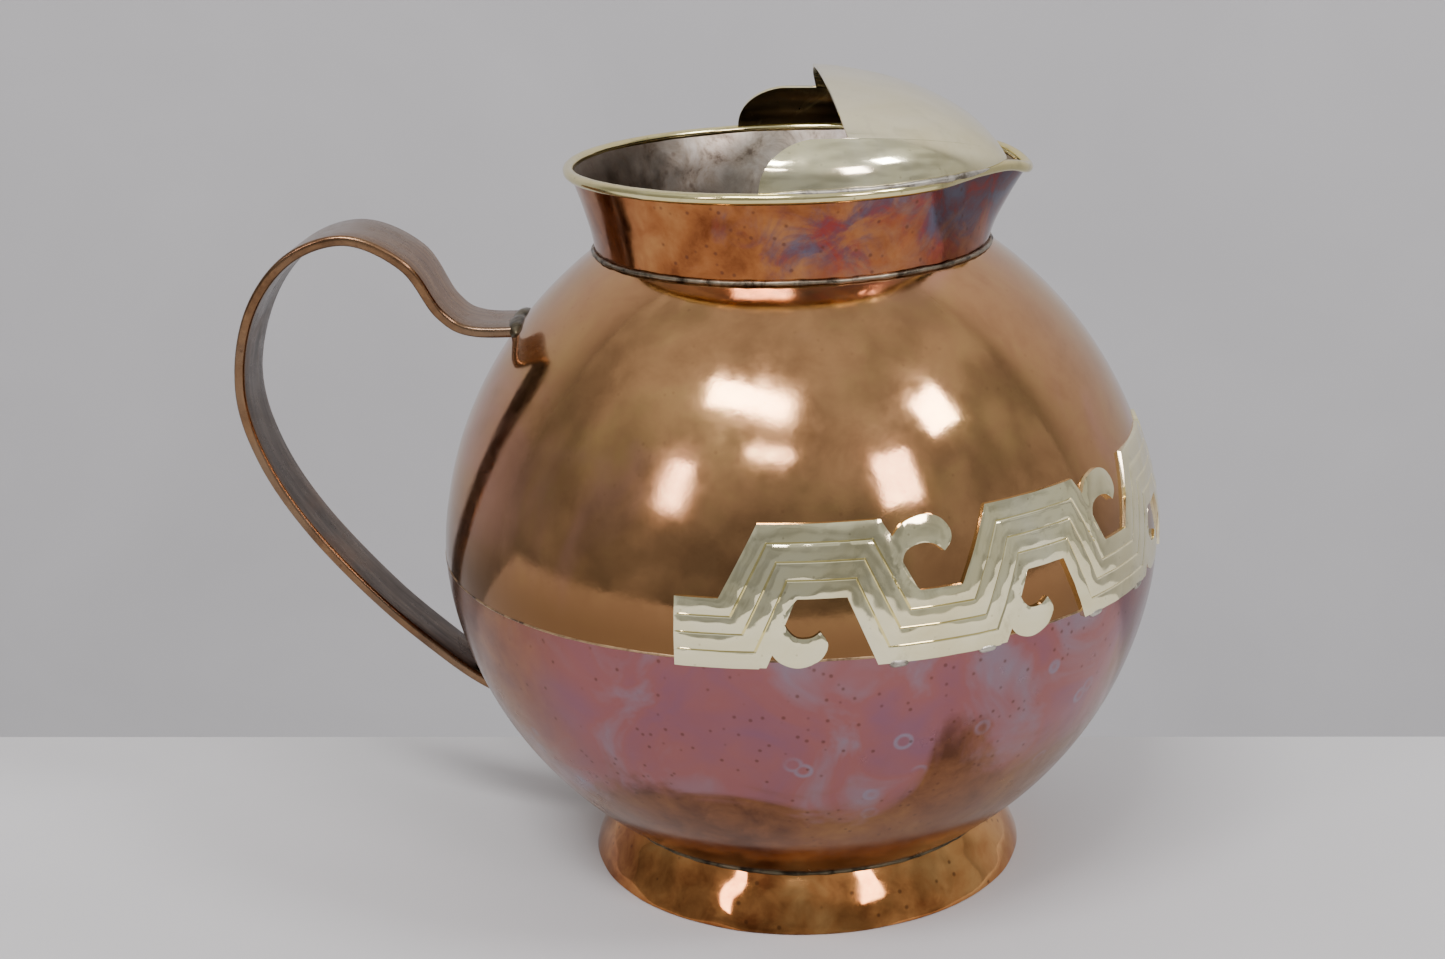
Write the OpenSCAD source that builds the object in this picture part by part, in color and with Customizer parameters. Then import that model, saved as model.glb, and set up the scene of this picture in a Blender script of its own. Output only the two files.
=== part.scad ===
// Copper water jug: two raised bowls, a flared collar with a pouring lip, a wired rim, a brass ice guard,
// a strap handle, a foot ring and a fret band, all soldered together.
// Frame: origin at the centre of the foot ring on the ground, +X towards the pouring lip, +Z up, mm.

/* [Body] */
// Outside radius of the body at its seam
body_r = 90; // [88:1:92]
// Height of the seam between the two bowls
seam_z = 86; // [84:1:88]
// Rise of the upper bowl's curve from the seam to its pole
upper_rise = 91; // [89:1:93]
// Drop of the lower bowl's curve from the seam to its pole
lower_drop = 89.5; // [88:0.5:91]
// Exponent of the bowl curve: 2 is an ellipse, less is leaner
bowl_power = 1.87; // [1.8:0.01:2]
// Thickness of the copper sheet
sheet = 1; // [0.8:0.1:1.4]
// Height of the flat base inside the foot
base_z = 6; // [5:0.5:8]

/* [Collar and rim] */
// Outside radius of the collar where it meets the body
collar_base_r = 48.4; // [47:0.2:50]
// Outside radius of the collar at its top edge
collar_top_r = 53.8; // [53:0.2:56]
// Exponent of the collar's flare
flare_power = 1.35; // [1:0.05:2]
// Height of the centre of the rim wire
rim_z = 180.6; // [178:0.2:184]
// Diameter of the rim wire
wire_d = 2.8; // [2:0.2:3.6]
// How far the lip reaches out past the round rim
lip_reach = 3.9; // [2:0.1:6]
// How far the rim is pinched in on each side of the lip
lip_pinch = 3.3; // [1:0.1:4]
// How far the tip of the lip dips
lip_dip = 2.8; // [0:0.2:4]

/* [Ice guard] */
// Radius of the guard's foot on the rim
guard_r = 53.6; // [52:0.2:55]
// Height of the guard's crown above its foot
guard_rise = 20.8; // [16:0.2:24]
// Distance from the mouth's centre to the guard's front edge
guard_front = 50.2; // [49:0.1:50.4]
// Distance from the mouth's centre to the back edge at the crown
guard_back = 7.6; // [4:0.2:12]
// Height of the two side tabs above the guard's foot
tab_height = 10.8; // [8:0.2:12]
// Turn of the guard about the mouth's centre, degrees
guard_turn = 6.5; // [0:0.5:8]
// Thickness of the brass sheet
brass_sheet = 0.8; // [0.6:0.1:1.2]

/* [Handle] */
// Width of the strap over the top of the handle
strap_w = 24; // [20:1:28]
// Width of the strap at its lower end
strap_low_w = 16; // [14:1:20]
// Thickness of the strap
strap_t = 2.8; // [2.2:0.1:3.4]

/* [Foot] */
// Outside radius of the foot ring on the ground
foot_r = 56.2; // [55.6:0.2:60]
// Outside radius of the foot ring at its top edge
foot_top_r = 49.2; // [48.8:0.2:50.2]
// Height of the foot ring
foot_h = 13; // [12.4:0.2:13.6]
// Thickness of the foot ring's wall
foot_wall = 1.2; // [1:0.1:1.6]

/* [Fret band] */
// Height of the band's lower edge
fret_z = 84.4; // [80:0.2:88]
// Width of the strip that the fret steps up and down with
fret_strip = 15.6; // [14:0.2:16]
// Number of repeats around the front
fret_count = 6; // [2:1:8]
// Length of one repeat, degrees around the body
fret_pitch = 35; // [34:0.5:38]
// Thickness of the band
fret_t = 1; // [0.8:0.1:1.4]

/* [Hidden] */

$fn = 96;
BOWL_STEPS = 24;      // points along one bowl's curve
RING_STEPS = 90;      // points around the collar and the rim
WALL_STEPS = 5;       // points up the collar's wall
WIRE_SIDES = 10;      // sides of the rim wire
GUARD_COLS = 14;      // points along the guard, back to front
SPLINE_STEPS = 5;     // points between two points of a curve
FAR = 300;            // longer than anything on the jug

wire_r = wire_d / 2;
// Height at which the upper bowl narrows to the collar
collar_z = seam_z + upper_rise * pow(1 - pow(collar_base_r / body_r, bowl_power), 1 / bowl_power);
collar_h = rim_z - collar_z;
guard_z = rim_z + wire_r - 0.1;
// Power and length of the guard's crown line, and power of its arch
CROWN_POWER = 0.65;
ARCH_POWER = 2.2;
crown_length = guard_front + 0.4;
// How far the tabs reach back along the rim, and the length of their round end
tab_reach = 10.2;
tab_round = 13.2;
// Where the back edge leaves the tabs
back_corner = guard_back + 2.8;
// Arch angle at which the tabs end
tab_angle = asin(pow(tab_height / guard_rise, ARCH_POWER / 2));
// Upper bowl's height scale and lower bowl's, seen from the seam
function bowl_reach(z) = z > seam_z ? upper_rise : lower_drop;
// Outside radius of the body at a height
function bowl_r(z) =
    body_r * pow(1 - pow(abs(z - seam_z) / bowl_reach(z), bowl_power), 1 / bowl_power);
// One bowl's curve from the seam to its pole: side is 1 for the upper bowl and -1 for the lower one
function bowl_curve(radius, reach, side) =
    [for (i = [0:BOWL_STEPS]) let (a = 90 * i / BOWL_STEPS)
        [radius * pow(cos(a), 2 / bowl_power), seam_z + side * reach * pow(sin(a), 2 / bowl_power)]];

// Deviation of the rim from a circle, and its dip, at an angle from the lip
function bell(x, width) = exp(-x * x / (width * width));
function lip_out(a) = lip_reach * bell(a, 13) - lip_pinch * bell(abs(a) - 32, 17);
function lip_down(a) = lip_dip * bell(a, 10);
function turn(a) = a > 180 ? a - 360 : a;
// Point of the collar's wall: a is the angle, v runs from 0 at the body to 1 at the top, inset is inwards
function collar_point(a, v, inset) =
    let (r = collar_base_r + (collar_top_r - collar_base_r + lip_out(a)) * pow(v, flare_power) - inset)
    [r * cos(a), r * sin(a), collar_z + (v == 0 ? inset * 0.55 : 0) + (collar_h - lip_down(a)) * v];
// Point of the rim wire: a is the angle around the mouth and s the angle around the wire
function wire_point(a, s) =
    let (r = collar_top_r + lip_out(a) + wire_r * cos(s))
    [r * cos(a), r * sin(a), rim_z - lip_down(a) + wire_r * sin(s)];

// Curve through a list of points, smooth at each of them
function spline(p) = concat(
    [for (i = [0:len(p) - 2], k = [0:SPLINE_STEPS - 1]) spline_point(p, i, k / SPLINE_STEPS)],
    [p[len(p) - 1]]);
function spline_point(p, i, t) =
    let (a = p[max(i - 1, 0)], b = p[i], c = p[i + 1], d = p[min(i + 2, len(p) - 1)])
    b + (c - a) * t / 2 + (2 * a - 5 * b + 4 * c - d) * t * t / 2 + (3 * b - a - 3 * c + d) * t * t * t / 2;
function unit2(v) = v / norm(v);
function normal2(p, i) =
    let (d = unit2(p[min(i + 1, len(p) - 1)] - p[max(i - 1, 0)])) [-d[1], d[0]];
function offset_line(p, d) = [for (i = [0:len(p) - 1]) p[i] + normal2(p, i) * d];
function reversed(p) = [for (i = [len(p) - 1:-1:0]) p[i]];

// Middle line of the strap in the X-Z plane, from the body's shoulder over the top and down
strap_line = spline([[-62, 141.2], [-79, 141.3], [-87, 146], [-95, 158.4], [-109, 165], [-124, 160.4],
                     [-135, 147], [-140, 127], [-136, 108], [-125, 88.5], [-108, 68.5], [-93, 54.5],
                     [-84, 47.5], [-75, 42.5], [-66, 39]]);

// Closed surface through rows of points, each row open at both ends
function flat_list(rows) = [for (r = rows, p = r) p];
module sheet_solid(outer, inner) {
    n = len(outer);
    m = len(outer[0]);
    function id(i, j) = i * m + j;
    top = [for (i = [0:n - 2], j = [0:m - 2]) [id(i, j), id(i + 1, j), id(i + 1, j + 1), id(i, j + 1)]];
    under = [for (f = top) [for (k = [3:-1:0]) f[k] + n * m]];
    ends = [for (j = [0:m - 2]) each [[id(0, j), id(0, j + 1), id(0, j + 1) + n * m, id(0, j) + n * m],
        [id(n - 1, j + 1), id(n - 1, j), id(n - 1, j) + n * m, id(n - 1, j + 1) + n * m]]];
    sides = [for (i = [0:n - 2]) each [[id(i + 1, 0), id(i, 0), id(i, 0) + n * m, id(i + 1, 0) + n * m],
        [id(i, m - 1), id(i + 1, m - 1), id(i + 1, m - 1) + n * m, id(i, m - 1) + n * m]]];
    polyhedron(concat(flat_list(outer), flat_list(inner)), concat(top, under, ends, sides), convexity = 6);
}

// Closed tube surface: rows are closed rings, and the last ring joins the first
module ring_solid(rows) {
    n = len(rows);
    m = len(rows[0]);
    faces = [for (i = [0:n - 1], j = [0:m - 1])
        [i * m + j, i * m + (j + 1) % m, ((i + 1) % n) * m + (j + 1) % m, ((i + 1) % n) * m + j]];
    polyhedron(flat_list(rows), faces, convexity = 6);
}

// Filled outline of the outside of the body, for cutting what is soldered to it
module body_outline() {
    polygon(concat([[0, seam_z - lower_drop]], reversed(bowl_curve(body_r, lower_drop, -1)),
                   bowl_curve(body_r, upper_rise, 1), [[0, seam_z + upper_rise]]));
}
module body_fill() { rotate_extrude() body_outline(); }

// Half outline of one bowl's wall
module bowl_wall(reach, side) {
    difference() {
        polygon(concat([[0, seam_z]], bowl_curve(body_r, reach, side)));
        polygon(concat([[0, seam_z]], bowl_curve(body_r - sheet, reach - sheet, side)));
    }
}

module body_lower() {
    color("#a8663c") rotate_extrude() difference() {
        union() {
            bowl_wall(lower_drop, -1);
            intersection() {
                polygon(concat([[0, seam_z]], bowl_curve(body_r, lower_drop, -1)));
                translate([0, base_z]) square([body_r, sheet]);
            }
        }
        translate([0, base_z - FAR]) square([FAR, FAR]);
    }
}

module body_upper() {
    opening = collar_base_r - 1.4 * sheet;
    color("#b27446") rotate_extrude() difference() {
        bowl_wall(upper_rise, 1);
        translate([0, seam_z]) square([opening, FAR]);
    }
}

module seam_solder() {
    color("#c2a878") rotate_extrude() difference() {
        translate([body_r - 0.35, seam_z]) circle(r = 0.6, $fn = 16);
        body_outline();
    }
}

// Outside curve of the foot ring, from the ground up
foot_curve = [for (i = [0:8]) let (v = i / 8)
    [foot_top_r + (foot_r - foot_top_r) * (1 - pow(v, 1.25)), foot_h * v]];

// The ring's wall is filed to the bowl where it meets it
module foot_ring() {
    color("#b8703c") rotate_extrude() difference() {
        polygon(concat(foot_curve, [for (p = reversed(foot_curve)) [p[0] - foot_wall, p[1]]]));
        body_outline();
    }
}

module foot_solder() {
    color("#8f8a78") rotate_extrude() difference() {
        translate([foot_top_r - 0.6, foot_h + 0.1]) circle(r = 1.3, $fn = 20);
        body_outline();
        polygon(concat([[0, 0]], foot_curve, [[0, foot_h]]));
    }
}

module collar() {
    angles = [for (i = [0:RING_STEPS - 1]) turn(360 * i / RING_STEPS)];
    steps = [for (k = [0:WALL_STEPS]) k / WALL_STEPS];
    color("#a85c38") ring_solid([for (a = angles) concat(
        [for (v = reversed(steps)) collar_point(a, v, 0)],
        [for (v = steps) collar_point(a, v, sheet)])]);
}

module collar_solder() {
    color("#b9b3a2") rotate_extrude() difference() {
        translate([collar_base_r + 0.5, collar_z + 0.5]) circle(r = 1.2, $fn = 20);
        body_outline();
        translate([0, collar_z - 2]) square([collar_base_r + 0.12, 6]);
    }
}

module rim_wire() {
    color("#cfc79a") ring_solid([for (i = [0:RING_STEPS - 1]) let (a = turn(360 * i / RING_STEPS))
        [for (j = [0:WIRE_SIDES - 1]) wire_point(a, -360 * j / WIRE_SIDES)]]);
}

// Half width and height of the guard's arch at a distance along it, and the start of its back edge
function arch_half(x) = sqrt(guard_r * guard_r - x * x);
function arch_rise(x) = guard_rise * pow(1 - pow(max(x, 0) / crown_length, 2), CROWN_POWER);
function guard_start(t) =
    let (h = guard_rise * pow(sin(t), 2 / ARCH_POWER))
    sin(t) < sin(tab_angle) - 0.001
        ? tab_round - tab_reach - tab_round * sqrt(1 - pow(min(h / tab_height, 1), 2))
        : back_corner - (back_corner - guard_back) * (h - tab_height) / (guard_rise - tab_height);
function guard_point(x, t, inset) =
    [x,
     (arch_half(x) - inset) * sign(cos(t)) * pow(abs(cos(t)), 2 / ARCH_POWER),
     guard_z + max(arch_rise(x) - inset, 0.2) * pow(sin(t), 2 / ARCH_POWER)];
guard_angles = let (side = concat([for (k = [0:7]) tab_angle * k / 8], [tab_angle - 0.3],
                                  [for (k = [0:8]) tab_angle + (90 - tab_angle) * k / 9]))
    concat(side, [90], [for (t = reversed(side)) 180 - t]);
function guard_rows(inset) = [for (t = guard_angles) [for (k = [0:GUARD_COLS])
    let (x0 = guard_start(t), x = x0 + (guard_front - x0) * sin(90 * k / GUARD_COLS))
    guard_point(x, t, inset)]];

module ice_guard() {
    color("#d8d2ae") rotate([0, 0, guard_turn]) sheet_solid(guard_rows(0), guard_rows(brass_sheet));
}

// Bead between the guard's foot and the rim wire, along each side of the mouth
module guard_solder() {
    bead_r = 0.8;
    color("#c9c19a") for (start = [-100, 34]) rotate([0, 0, guard_turn + start]) rotate_extrude(angle = 66)
        translate([guard_r + 0.3, guard_z - 0.2]) circle(r = bead_r, $fn = 16);
}

// Side outline of the strap
module strap_outline() {
    polygon(concat(offset_line(strap_line, strap_t / 2), reversed(offset_line(strap_line, -strap_t / 2))));
}

module handle_strap() {
    taper = [[strap_w, 200], [strap_w, 158], [strap_low_w + 2, 130], [strap_low_w, 40], [strap_low_w, 20]];
    sides = concat([for (p = taper) [p[0] / 2, p[1]]], [for (p = reversed(taper)) [-p[0] / 2, p[1]]]);
    color("#9c5a34") difference() {
        intersection() {
            rotate([90, 0, 0]) linear_extrude(height = 2 * strap_w, center = true) strap_outline();
            translate([-FAR, 0, 0]) rotate([90, 0, 90]) linear_extrude(height = FAR) polygon(sides);
        }
        body_fill();
    }
}

module handle_top_solder() {
    half_angle = asin(strap_w / 2 / bowl_r(141)) + 1;
    color("#77735c") difference() {
        rotate([0, 0, 180 - half_angle]) rotate_extrude(angle = 2 * half_angle) difference() {
            translate([bowl_r(140), 140]) circle(r = 2.6, $fn = 24);
            body_outline();
        }
        translate([-80, -strap_w / 2, 141.25 - strap_t / 2]) cube([30, strap_w, strap_t]);
    }
}

// Wedge of solder in the corner between the strap's inner face and the body
module handle_low_solder() {
    wedge_w = strap_low_w - 3;
    wedge = [[-72, 40], [-70, 56], [-bowl_r(56) - 0.3, 56], [-bowl_r(51) - 1.6, 51], [-88, 50.5], [-84, 46]];
    color("#5d5443") difference() {
        rotate([90, 0, 0]) linear_extrude(height = wedge_w, center = true) polygon(wedge);
        rotate([90, 0, 0]) linear_extrude(height = strap_w, center = true) strap_outline();
        rotate([90, 0, 0]) linear_extrude(height = strap_w, center = true)
            polygon([[-60, 30], [-74, 41.9], [-84, 47.5], [-91, 53], [-120, 53], [-120, 30]]);
        body_fill();
    }
}

// Outline of one repeat of the fret: degrees along the body and steps of height in strips
// A repeat reaches into the next one by a tongue, this many degrees long and this far from the strip's edges
lap = 0.7;
lap_inset = 0.04;
lower_edge = [[0, 0], [12, 0], [13.5, 0.27]];
low_scroll = spline([[13.5, 0.27], [15, 0.09], [17.6, 0.01], [20.4, 0.12], [21.6, 0.34], [20.6, 0.53]]);
low_inner = spline([[20.6, 0.53], [19.2, 0.45], [17.2, 0.46], [15.8, 0.62], [15.8, 0.8], [17.5, 1]]);
arch = [[17.5, 1], [24.5, 1], [28.5, 0], [fret_pitch, 0]];
end_edge = [[fret_pitch + lap, lap_inset], [fret_pitch + lap, 1 - lap_inset], [fret_pitch, 1]];
top_inner = spline([[35, 1], [33.2, 1.22], [32.7, 1.4], [33.5, 1.56], [35.6, 1.63], [37.7, 1.6],
    [39.2, 1.49]]);
top_scroll = spline([[39.2, 1.49], [40.4, 1.62], [40.4, 1.78], [39, 1.94], [36.6, 2], [33.4, 1.93],
    [31.5, 1.76]]);
upper_edge = [[31.5, 1.76], [30, 2], [11.8, 2], [6.4, 1], [0, 1]];
fret_outline = concat(lower_edge, low_scroll, low_inner, arch, end_edge, top_inner, top_scroll, upper_edge);

module fret_unit() {
    middle = fret_pitch / 2;
    points = [for (p = fret_outline) let (z = fret_z + fret_strip * p[1])
        [bowl_r(z) * sin(p[0] - middle), z]];
    rotate([0, 0, middle]) rotate([90, 0, 90]) translate([0, 0, body_r / 2])
        linear_extrude(height = body_r) polygon(points);
}

// Half outline of the thin shell that the band is cut from. An odd number of steps keeps its rings off
// the level edges of the fret.
module fret_shell() {
    margin = 2;
    steps = 9;
    heights = [for (i = [0:steps]) fret_z - margin + 2 * (fret_strip + margin) * i / steps];
    polygon(concat([for (z = heights) [bowl_r(z) + fret_t, z]],
                   [for (z = reversed(heights)) [bowl_r(z), z]]));
}

module fret_band() {
    start = -fret_count * fret_pitch / 2;
    color("#d4cda6") intersection() {
        rotate_extrude() fret_shell();
        for (i = [0:fret_count - 1]) rotate([0, 0, start + i * fret_pitch]) fret_unit();
    }
}

// Solder that has run out under the band's lower edge, two short fillets for each repeat
module fret_solder() {
    start = -fret_count * fret_pitch / 2;
    fillet_angle = 3;
    fillet_r = 1.2;
    color("#c3b48c") for (i = [1:fret_count - 1], offset = [-5, 8.5])
        rotate([0, 0, start + i * fret_pitch + offset]) rotate_extrude(angle = fillet_angle) difference() {
            translate([bowl_r(fret_z), fret_z]) circle(r = fillet_r, $fn = 16);
            body_outline();
            translate([0, fret_z]) square([FAR, FAR]);
        }
}

body_lower();
body_upper();
seam_solder();
foot_ring();
foot_solder();
collar();
collar_solder();
rim_wire();
ice_guard();
guard_solder();
handle_strap();
handle_top_solder();
handle_low_solder();
fret_band();
fret_solder();
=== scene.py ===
import math

import bmesh
import bpy
import numpy as np
from mathutils import Matrix, Vector
from mathutils.geometry import delaunay_2d_cdt


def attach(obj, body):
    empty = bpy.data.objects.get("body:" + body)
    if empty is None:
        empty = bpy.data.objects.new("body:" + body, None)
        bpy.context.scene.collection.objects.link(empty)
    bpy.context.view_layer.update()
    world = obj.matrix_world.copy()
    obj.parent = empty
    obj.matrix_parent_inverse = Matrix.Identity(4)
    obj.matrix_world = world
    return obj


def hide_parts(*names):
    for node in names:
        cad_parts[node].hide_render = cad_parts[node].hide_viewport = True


MM = 0.001

# Body
BODY_R = 90.0
SEAM_Z = 86.0
UPPER_RISE = 91.0
LOWER_DROP = 89.5
BOWL_POWER = 1.87
SHEET = 1.0
BASE_Z = 6.0
OPENING_R = 47.0

# Collar and rim
COLLAR_BASE_R = 48.4
COLLAR_TOP_R = 53.8
COLLAR_Z = 160.42
COLLAR_H = 20.18
FLARE_POWER = 1.35
RIM_Z = 180.6
WIRE_R = 1.4
LIP_REACH = 3.9
LIP_PINCH = 3.3
LIP_DIP = 2.8

# Ice guard
GUARD_R = 53.6
GUARD_Z = 181.9
GUARD_RISE = 20.8
GUARD_FRONT = 50.2
GUARD_BACK = 7.6
GUARD_CORNER = 10.4
GUARD_T = 0.8
GUARD_TURN = math.radians(6.5)
CROWN_LENGTH = 50.6
CROWN_POWER = 0.65
ARCH_POWER = 2.2
TAB_H = 10.8
TAB_ROUND = 13.2
TAB_REACH = 10.2

# Foot
FOOT_R = 56.2
FOOT_TOP_R = 49.2
FOOT_H = 13.0
FOOT_WALL = 1.2
FOOT_FLARE = 1.25

# Fret band: degrees around the body and steps of height
FRET_Z = 84.4
FRET_STEP = 15.6
FRET_PITCH = 35.0
FRET_COUNT = 6
FRET_T = 1.0
FRET_START = -FRET_COUNT * FRET_PITCH / 2

# Handle: its middle line as (x, z), and its width at some heights as (width, z)
STRAP_LINE = [
    (-62, 141.2), (-79, 141.3), (-87, 146), (-95, 158.4), (-109, 165),
    (-124, 160.4), (-135, 147), (-140, 127), (-136, 108), (-125, 88.5),
    (-108, 68.5), (-93, 54.5), (-84, 47.5), (-75, 42.5), (-66, 39),
]
STRAP_T = 2.8
STRAP_WIDTHS = [(16, 40), (18, 130), (24, 158)]
STRAP_TOP_Z = 141.2

# Stage: back edge of the table, and the wall behind it
TABLE_EDGE = 61.0
TABLE_HALF = 1500
WALL_Y = 900.0
WALL_HALF = 4000
LAMP_DISTANCE = 3.0

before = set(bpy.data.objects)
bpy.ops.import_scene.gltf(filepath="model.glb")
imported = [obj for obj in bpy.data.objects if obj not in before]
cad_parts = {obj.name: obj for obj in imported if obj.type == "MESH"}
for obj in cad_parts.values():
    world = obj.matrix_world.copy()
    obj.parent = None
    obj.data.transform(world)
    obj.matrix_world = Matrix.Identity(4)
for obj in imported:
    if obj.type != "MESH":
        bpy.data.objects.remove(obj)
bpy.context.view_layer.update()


# ---- curves ----

def bowl_r(z):
    """Outside radius of the body at a height."""
    u = np.asarray(z, float) - SEAM_Z
    reach = np.where(u > 0, UPPER_RISE, LOWER_DROP)
    inside = np.clip(1 - np.clip(np.abs(u) / reach, 0, 1) ** BOWL_POWER, 0, None)
    return BODY_R * inside ** (1 / BOWL_POWER)


def wave(a, b, seed=0.0, scale=1.0):
    """Smooth uneven field of two coordinates, about -1 to 1, the same on every run."""
    a = np.asarray(a, float) * scale
    b = np.asarray(b, float) * scale
    first = np.sin(1.7 * a + 0.9 * b + seed) * np.cos(1.1 * b - 0.6 * a + 2.3 * seed)
    second = np.sin(2.9 * b - 1.3 * a + 4.1 + seed) * np.cos(2.3 * a + 0.7 * b + 1.9 * seed)
    return 0.6 * first + 0.4 * second


def spline(points, steps):
    """Catmull-Rom curve through the points."""
    p = [np.array(q, float) for q in points]
    out = []
    for i in range(len(p) - 1):
        a, b, c, d = p[max(i - 1, 0)], p[i], p[i + 1], p[min(i + 2, len(p) - 1)]
        for k in range(steps):
            t = k / steps
            out.append(
                b + (c - a) * t / 2 + (2 * a - 5 * b + 4 * c - d) * t * t / 2
                + (3 * b - a - 3 * c + d) * t ** 3 / 2
            )
    return out + [p[-1]]


def bell(x, width):
    """Smooth bump of height 1 around zero."""
    return np.exp(-(x / width) ** 2)


def lip_out(a):
    """How far the rim lies outside a circle, at an angle in degrees from the lip."""
    return LIP_REACH * bell(a, 13) - LIP_PINCH * bell(np.abs(a) - 32, 17)


def lip_down(a):
    """How far the rim dips, at an angle in degrees from the lip."""
    return LIP_DIP * bell(a, 10)


def around(r, degrees, z):
    """Points on a turned surface."""
    a = np.radians(degrees)
    r, a, z = np.broadcast_arrays(r, a, z)
    return np.stack([r * np.cos(a), r * np.sin(a), z], axis=-1)


def full_turn(steps):
    """Angles in degrees from -180 up to 180, without the last."""
    return np.arange(steps) * 360.0 / steps - 180.0


# ---- meshes ----

def make_piece(name, points, faces, materials, face_slots=None, sharp=40):
    """Mesh object from points in millimetres, smooth except at edges sharper than the angle."""
    mesh = bpy.data.meshes.new(name)
    mesh.from_pydata((np.asarray(points, float) * MM).tolist(), [], [list(map(int, f)) for f in faces])
    for material in materials:
        mesh.materials.append(material)
    if face_slots is not None:
        mesh.polygons.foreach_set("material_index", face_slots)
    work = bmesh.new()
    work.from_mesh(mesh)
    bmesh.ops.remove_doubles(work, verts=work.verts, dist=0.002 * MM)
    loose = [v for v in work.verts if not v.link_faces]
    bmesh.ops.delete(work, geom=loose, context="VERTS")
    bmesh.ops.recalc_face_normals(work, faces=work.faces)
    work.to_mesh(mesh)
    work.free()
    mesh.shade_smooth()
    mesh.set_sharp_from_angle(angle=math.radians(sharp))
    obj = bpy.data.objects.new(name, mesh)
    bpy.context.scene.collection.objects.link(obj)
    return obj


def grid_faces(rows, cols, wrap_rows, wrap_cols):
    """Quads over a grid of points numbered row by row."""
    out = []
    for i in range(rows if wrap_rows else rows - 1):
        for j in range(cols if wrap_cols else cols - 1):
            i2, j2 = (i + 1) % rows, (j + 1) % cols
            out.append((i * cols + j, i2 * cols + j, i2 * cols + j2, i * cols + j2))
    return out


def tube(name, rings, materials, closed, slot_of=None, sharp=40):
    """Closed solid through rings of points. The last ring joins the first, or both ends are capped."""
    n, m = rings.shape[:2]
    faces = grid_faces(n, m, closed, True)
    slots = [slot_of(f[0] % m) for f in faces] if slot_of else None
    if not closed:
        faces += [tuple(range(m)), tuple(range((n - 1) * m, n * m))]
        slots = slots + [0, 0] if slots else None
    return make_piece(name, rings.reshape(-1, 3), faces, materials, slots, sharp)


def add_bevel(obj, width, angle):
    """Rounded edges where faces meet at more than the angle."""
    bevel = obj.modifiers.new("edges", "BEVEL")
    bevel.width = width * MM
    bevel.segments = 2
    bevel.limit_method = "ANGLE"
    bevel.angle_limit = math.radians(angle)
    bevel.use_clamp_overlap = True


def finish_piece(obj, node):
    """The piece rides with the jug and stands for its CAD node."""
    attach(obj, "root")
    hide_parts(node)


def turned(name, outline, materials, uneven, steps=240, slot_of=None):
    """Closed outline of (radius, height) points turned about the jug's axis, slightly uneven."""
    rings = []
    for deg in full_turn(steps):
        r = outline[:, 0] + uneven(deg, outline[:, 1]) * np.minimum(outline[:, 0] / 20, 1)
        rings.append(around(r, deg, outline[:, 1]))
    return tube(name, np.array(rings), materials, True, slot_of)


def bead(name, start, end, radius, height, size, material, seed, steps_per_degree=2.0):
    """Bead of solder along an arc, lumpy, thinning out at its ends unless it goes all the way round."""
    closed = end - start >= 360
    n = max(int((end - start) * steps_per_degree), 12)
    a = start + (end - start) * np.arange(n) / (n if closed else n - 1)
    s = np.radians(np.arange(16) * 22.5)
    rings = []
    for deg in a:
        lump = 1 + 0.22 * wave(math.cos(math.radians(deg)) * 21, math.sin(math.radians(deg)) * 21, seed)
        if not closed:
            lump *= max(1 - abs(2 * (deg - start) / (end - start) - 1) ** 6, 0.05)
        sag = 0.12 * size * wave(deg * 0.17, seed, 3.0)
        rings.append(around(radius + size * lump * np.cos(s), deg, height + sag + size * lump * np.sin(s)))
    return tube(name, np.array(rings), [material], closed)


def join(objs, name):
    """One object out of several with the same material."""
    with bpy.context.temp_override(active_object=objs[0], selected_editable_objects=objs):
        bpy.ops.object.join()
    objs[0].name = name
    return objs[0]


# ---- materials ----

def new_material(name, metallic=1.0):
    """Material with a node tree and its Principled shader."""
    material = bpy.data.materials.new(name)
    material.use_nodes = True
    shader = material.node_tree.nodes["Principled BSDF"]
    shader.inputs["Metallic"].default_value = metallic
    return material, material.node_tree, shader


def node(tree, kind, **values):
    """New shader node with some of its properties set."""
    out = tree.nodes.new(kind)
    for key, value in values.items():
        setattr(out, key, value)
    return out


def place(tree, stretch=(1, 1, 1)):
    """Object coordinates in metres, stretched."""
    coords = node(tree, "ShaderNodeTexCoord")
    mapping = node(tree, "ShaderNodeMapping")
    mapping.inputs["Scale"].default_value = stretch
    tree.links.new(coords.outputs["Object"], mapping.inputs["Vector"])
    return mapping.outputs["Vector"]


def noise(tree, vector, scale, detail=4.0, rough=0.55, warp=0.0):
    """Soft random pattern, about 0.3 to 0.7."""
    texture = node(tree, "ShaderNodeTexNoise")
    texture.inputs["Scale"].default_value = scale
    texture.inputs["Detail"].default_value = detail
    texture.inputs["Roughness"].default_value = rough
    texture.inputs["Distortion"].default_value = warp
    tree.links.new(vector, texture.inputs["Vector"])
    return texture.outputs["Fac"]


def spots(tree, vector, scale):
    """Distance to scattered points."""
    texture = node(tree, "ShaderNodeTexVoronoi")
    texture.inputs["Scale"].default_value = scale
    tree.links.new(vector, texture.inputs["Vector"])
    return texture.outputs["Distance"]


def ramp(tree, value, stops):
    """Colour over a value from 0 to 1. Each stop is (place, colour)."""
    out = node(tree, "ShaderNodeValToRGB")
    elements = out.color_ramp.elements
    while len(elements) < len(stops):
        elements.new(0.5)
    for element, (at, colour) in zip(elements, stops):
        element.position = at
        element.color = (*colour, 1)
    tree.links.new(value, out.inputs["Fac"])
    return out.outputs["Color"]


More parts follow.
